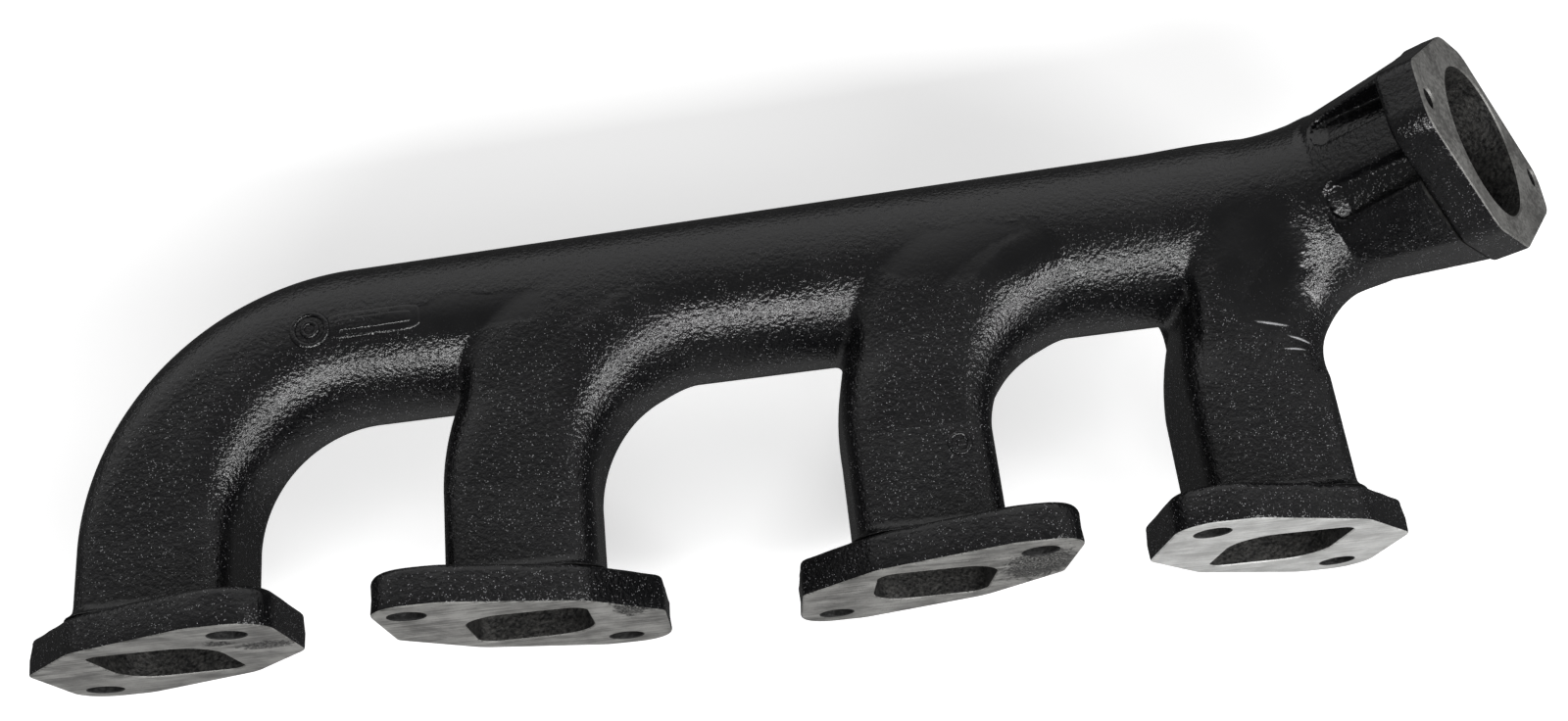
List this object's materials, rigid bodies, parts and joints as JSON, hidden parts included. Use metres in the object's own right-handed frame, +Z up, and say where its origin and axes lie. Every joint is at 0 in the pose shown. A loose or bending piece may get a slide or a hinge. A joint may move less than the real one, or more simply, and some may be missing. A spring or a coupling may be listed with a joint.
{
  "type": "exhaust manifold",
  "caption": "Cast iron exhaust manifold: flanged square runners sweep into a tapering collector that ends in a raised two-bolt outlet flange.",
  "frame": {"origin": "on the plane of the port faces, midway between the second and third ports and on the line through the port centres", "axes": "+X along the collector towards the outlet, +Y from the port faces towards the collector, +Z up as installed"},
  "size_m": [0.5044, 0.1477, 0.1254],
  "materials": {
    "painted_casting": "satin black paint over as-cast iron",
    "flange_iron": "machined grey iron faces, black painted edges"
  },
  "bodies": {
    "root": {"port_flange_1": "flange_iron", "port_flange_2": "flange_iron", "port_flange_3": "flange_iron", "port_flange_4": "flange_iron", "runner_leg_1": "painted_casting", "runner_leg_2": "painted_casting", "runner_leg_3": "painted_casting", "runner_leg_4": "painted_casting", "end_elbow": "painted_casting", "collector_1": "painted_casting", "branch_2": "painted_casting", "collector_2": "painted_casting", "branch_3": "painted_casting", "collector_3": "painted_casting", "branch_4": "painted_casting", "outlet_neck": "painted_casting", "outlet_flange": "flange_iron", "badge_pad": "painted_casting", "foundry_pad": "painted_casting"}
  },
  "joints": []
}
